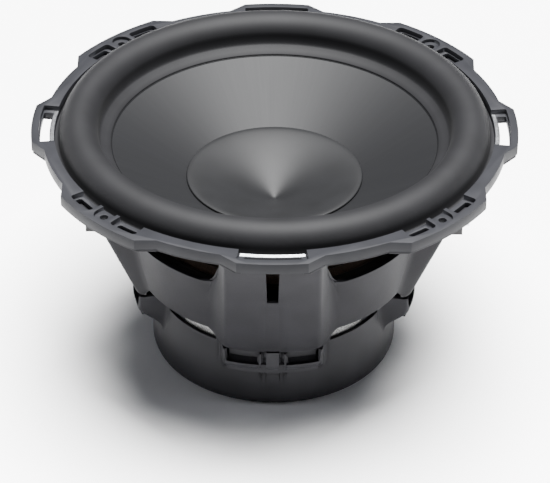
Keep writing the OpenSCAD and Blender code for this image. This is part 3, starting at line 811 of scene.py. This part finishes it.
def basket_point(i, j):
    wall = min(max(i - hollow_end, 0) / basket_counts[3], 1)
    side = smoothly((i - fold_end) / (hollow_end - fold_end))
    corner = min(max((i - side_end) / (hollow_end - side_end), 0), 1)
    band_edge = band_top_h - window_lift * max(1 - 4 * wall, 0) ** 2
    top = flange_foot_h + (band_edge - flange_foot_h) * corner
    foot = leg_foot_h - (leg_foot_h - band_foot_h) * side
    depth = top + (foot - top) * row_shares[j]
    spread = half_leg + 2 + 6 * smoothly(depth / band_foot_h)
    hollow = 0.6 + 4 * smoothly((depth - band_top_h + 9) / 9)
    path = fold_path(leg_r(depth), band_r(depth), half_leg, spread, basket_laterals(depth),
                     2.6, hollow, basket_counts)
    x, y = path[i]
    if i <= 3 and depth > slot_foot_h + 2:
        x -= groove_depth
    return point(x, y, depth)


def basket_keeps(i, j):
    return not (i < 2 and slot_rows[0] <= j < slot_rows[1])


skin = face_outwards(four_legs(
    bent_grid(columns, len(row_shares) - 1, basket_point, basket_keeps)))
print("basket skin has", len(skin.faces), "faces")

# %% [markdown]
# The two side legs are open where the terminal housings pass through. A liner closes the band
# behind the legs, and a spun floor carries on from the band's foot to the top plate.

# %% Cut the side legs and add liner and floor
gone = []
for face in skin.faces:
    middle = face.calc_center_median() / mm
    depth = top_z / mm - middle.z
    beside = abs(middle.y) < terminal_half and abs(middle.x) > floor_r
    if beside and terminal_top_h < depth < terminal_foot_h:
        gone.append(face)
bmesh.ops.delete(skin, geom=gone, context="FACES")
skin = thicken(skin, sheet_t, 0.35)

liner_in, liner_t = 2.4, 1.2
liner_out_in = liner_in + liner_t
liner = lathe([(band_top_r - liner_in, band_top_h), (band_foot_r - liner_in, band_foot_h),
               (band_foot_r - liner_out_in, band_foot_h),
               (band_top_r - liner_out_in, band_top_h)])
band_floor = lathe([(band_foot_r - 0.3, band_foot_h - 1), (band_foot_r - 1.6, band_foot_h + 1.4),
                    (band_foot_r - 4, band_foot_h + 2.2), (82, band_foot_h + 2.4),
                    (floor_r, plate_h), (37.7, plate_h), (37.7, plate_h - 1.8),
                    (floor_r - 1, plate_h - 1.8), (80.6, band_foot_h + 0.6),
                    (band_foot_r - 3, band_foot_h - 1)])
settle(joined(skin, liner, band_floor), "basket_pressing", "basket", "root", "basket_legs",
       "basket_band", sharp=35)

# %% [markdown]
# ## Magnet boot
#
# The moulded cover is the same kind of skin, thinner and rounder. Its rim is not level: it
# climbs beside each leg, steps down at a notch between two legs, and is cut low in front of
# each leg, where two ribs and a tongue stand in the pocket.

# %% Measures of the boot
belly_r, waist_r = 84.9, 80.9
notch_h, peak_h, saddle_h = plate_h + 9, plate_h - 3.5, leg_foot_h + 2.5
belly_h = notch_h + 29
saddle_r = 98.5
pocket_h = saddle_h + 9
slit_h = saddle_h + 15
saddle_foot_h = plate_h + 28
boot_edge_r = 8.0
boot_half = 33.2
notch_from = math.radians(45 - 13.7)
cover_t = 2.4


def body_r(depth):
    """Radius of the boot's round body."""
    if depth > base_h - boot_edge_r:
        down = min(depth - (base_h - boot_edge_r), boot_edge_r) / boot_edge_r
        return belly_r - boot_edge_r * (1 - math.sqrt(1 - down * down))
    rise = (depth - notch_h) / (belly_h - notch_h)
    return waist_r + (belly_r - waist_r) * smoothly(abs(rise))


def foot_r(depth):
    """Radius of a boot's foot in front of a leg."""
    flat_to = plate_h + 12
    drop = (depth - flat_to) / (saddle_foot_h - flat_to)
    return body_r(depth) + (saddle_r - body_r(depth)) * (1 - smoothly(drop)) + 0.02


print("boot is", belly_r, "mm at its belly and", saddle_r, "mm at its feet")

# %% [markdown]
# The boot's rim is drawn column by column: tongue, slit, rib, pocket, the climb round the foot's
# corner, and the step down into the notch. The rows then share out what is left below the rim,
# closer together near the rounded lower edge.

# %% Bend the boot's skin
boot_counts = (6, 8, 5, 18)
boot_laterals = [0, 4.2, 4.7, 7.6, 8.0, 9.0, 9.4, 14, 20, 26]
boot_fold = len(boot_laterals)
boot_fold_end = boot_fold + boot_counts[0] + 1
boot_side_end = boot_fold_end + boot_counts[1]
boot_hollow_end = boot_side_end + boot_counts[2]
boot_columns = boot_hollow_end + boot_counts[3]
boot_rows = 34


def boot_rim(i, angle):
    """Depth of the rim at a column."""
    if i <= 1:
        return leg_foot_h + 1.2
    if i <= 3:
        return slit_h
    if i <= 5:
        return saddle_h
    if i < boot_fold:
        return pocket_h
    if i <= boot_fold_end:
        return saddle_h + (pocket_h - saddle_h) * (1 - smoothly((i - boot_fold) / 3))
    if i <= boot_hollow_end:
        run = (i - boot_fold_end) / (boot_hollow_end - boot_fold_end)
        return saddle_h - (saddle_h - peak_h) * math.sin(run * math.pi / 2)
    step = (angle - notch_from) / math.radians(1.6) + 0.5
    return peak_h + (notch_h - peak_h) * smoothly(step)


def boot_point(i, j):
    share = j / boot_rows
    rim = boot_rim(i, 0)
    if i > boot_hollow_end:
        probe = fold_path(foot_r(notch_h), body_r(notch_h), boot_half, 41, boot_laterals, 2.0, 2.5,
                          boot_counts)[i]
        rim = boot_rim(i, math.atan2(probe.y, probe.x))
    flat = base_h - 0.05
    depth = rim + (flat - rim) * (1 - (1 - share) ** 1.35)
    side = 35 + 6 * smoothly((saddle_h + 6 - depth) / 18)
    path = fold_path(foot_r(depth), body_r(depth), boot_half, side, boot_laterals, 2.0, 2.5,
                     boot_counts)
    spot = path[i]
    # a straight piece of the path never cuts inside the round body
    if spot.length < body_r(depth):
        spot = spot.normalized() * body_r(depth)
    return point(*spot, depth)


boot = bent_grid(boot_columns, boot_rows, boot_point, lambda i, j: True)
boot = thicken(face_outwards(four_legs(boot)), cover_t, 0.4)
print("boot skin has", len(boot.faces), "faces")

# %% [markdown]
# A flat base closes the boot from below. Behind each pocket stands a wall with a slanting foot,
# which keeps one from looking through the pocket at the magnets.

# %% Close the base and the pockets
base_plate = lathe([(18.4, base_h), (70, base_h), (77.5, base_h - 0.02), (77.5, base_h - 2.4),
                    (18.4, base_h - 2.4)])
pocket_r = saddle_r - 6
lining_r = saddle_r - 2.5
wall_top_h, wall_foot_h = saddle_h - 1.2, pocket_h + 8
pocket_half = 18.5
pocket_wall = sectors([(pocket_r, wall_top_h), (pocket_r, pocket_h - 2),
                       (saddle_r - 1.4, pocket_h + 0.6), (lining_r, pocket_h + 6),
                       (lining_r, wall_foot_h), (waist_r - 2, wall_foot_h),
                       (waist_r - 2, wall_top_h)], -pocket_half, pocket_half)
settle(joined(boot, base_plate, pocket_wall), "magnet_boot", "cover", "root", "magnet_cover",
       sharp=35)

# %% [markdown]
# Thin dark strips lie over the top plate's edge in one half of each notch. They sit a
# hair outside the plate.

# %% Lay the dark strips
strip_in_r, strip_out_r = 78.1, 78.42
strip_top_h, strip_foot_h = band_foot_h + 3, notch_h + 1
dark_strips = []
for side in (-1, 1):
    ends = sorted((side * 50.5, side * 59))
    dark_strips.append(sectors([(strip_in_r, strip_top_h), (strip_out_r, strip_top_h), (strip_out_r, strip_foot_h),
                         (strip_in_r, strip_foot_h)], *ends, turns=(-90, 90)))
settle(joined(*dark_strips), "plate_dark_strips", "cover", "root", sharp=35)

# %% [markdown]
# ## Trim ring and the small hard parts
#
# These have the right shape in the frame already. A copy is merged, its flat faces are made
# whole, and the outside edges get a fine bevel, because it is the bevel that catches the light.

# %% Soften copies of the hard parts
hard_parts = [
    ("basket_rim", "basket", "root", 0.4), ("trim_ring", "trim", "root", 0.55),
    ("mounting_gasket", "gasket", "root", 0.4),
    ("spider_landing_ring", "landing_board", "root", 0.3),
    ("top_plate", "zinc_steel", "root", 0.5), ("front_magnet", "ferrite", "root", 0.8),
    ("rear_magnet", "ferrite", "root", 0.8), ("pole_piece", "zinc_steel", "root", 0.5),
    ("shorting_ring", "aluminium", "root", 0.3), ("cover_screws", "dark_screw", "root", 0.3),
    ("plate_screws", "bright_screw", "root", 0.3),
    ("pole_vent_screen", "screen", "root", 0.15),
    ("left_terminal_housing", "terminal_plastic", "root", 0.35),
    ("right_terminal_housing", "terminal_plastic", "root", 0.35),
    ("left_terminal_contacts", "contact_brass", "root", 0.12),
    ("right_terminal_contacts", "contact_brass", "root", 0.12),
    ("terminal_screws", "bright_screw", "root", 0.25),
    ("coil_former", "aluminium", "moving_cone", 0.1),
    ("upper_winding", "copper_wire", "moving_cone", 0.3),
    ("lower_winding", "copper_wire", "moving_cone", 0.3),
    ("lead_lugs", "contact_brass", "moving_cone", 0.12),
    ("left_front_button", "button", "left_front_push", 0.45),
    ("left_rear_button", "button", "left_rear_push", 0.45),
    ("right_front_button", "button", "right_front_push", 0.45),
    ("right_rear_button", "button", "right_rear_push", 0.45),
]
for node, finish, body, width in hard_parts:
    settle(soften(copy_of(node), width), node + "_soft", finish, body, node)

# %% [markdown]
# Each housing holds two springs in one CAD part, one behind each button. The copy is parted by
# the side of the driver that the button is on, and each spring is taken off its body and has
# its place baked into its mesh.

# %% Part the springs by their buttons
for side in ("left", "right"):
    node = side + "_terminal_springs"
    for row in ("front", "rear"):
        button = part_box(f"{side}_{row}_button")
        sign = 1 if button[0].y + button[1].y > 0 else -1
        bm = copy_of(node)
        others = [v for v in bm.verts if v.co.y * sign < 0]
        bmesh.ops.delete(bm, geom=others, context="VERTS")
        spring = settle(bm, f"{side}_{row}_spring", "contact_brass", "root", node)
        spring.parent = None
        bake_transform(spring)

# %% [markdown]
# The bead of glue round the cone's neck is spun from its own outline, because a softened copy of
# its slanting ring closes over the hole in the middle.

# %% Spin the bead at the neck
bead_round = 0.5
neck_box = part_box("neck_ring")
neck_out, neck_top = neck_box[1].x / mm, depth_of(neck_box[1].z)
neck_foot = depth_of(neck_box[0].z)
bead = arc(neck_out - bead_round, neck_top + bead_round, bead_round, 0, 90, 4)
neck = lathe(bead + [(neck_in_r, neck_top), (neck_in_r, neck_foot), (neck_out, neck_foot)], 120)
settle(neck, "neck_ring_soft", "neck_ring", "moving_cone", "neck_ring")

# %% [markdown]
# In each tab's pocket the surround's glued edge is covered by a strip of bright foil. It is the
# one thing on the trim that sparkles.

# %% Foil strips in the tabs' pockets
rail_h = 3.5
foil_in_r, foil_out_r = trim_in_r + 0.3, trim_in_r + 2.6
foil_half = 7.9
foil = sectors([(foil_in_r, rail_h - 0.5), (foil_out_r, rail_h - 0.15),
                (foil_out_r, rail_h + 0.02), (foil_in_r, rail_h + 0.02)], -foil_half, foil_half)
settle(foil, "tab_foil", "bright_screw", "root")

# %% [markdown]
# ## Leads
#
# Four braided leads bring the current from the terminals to the coil. They stay in the design's
# own place.

# %% Braid the leads
leads = settle(copy_of("tinsel_leads"), "tinsel_braids", "tinsel", "root", "tinsel_leads")
stretch(leads)
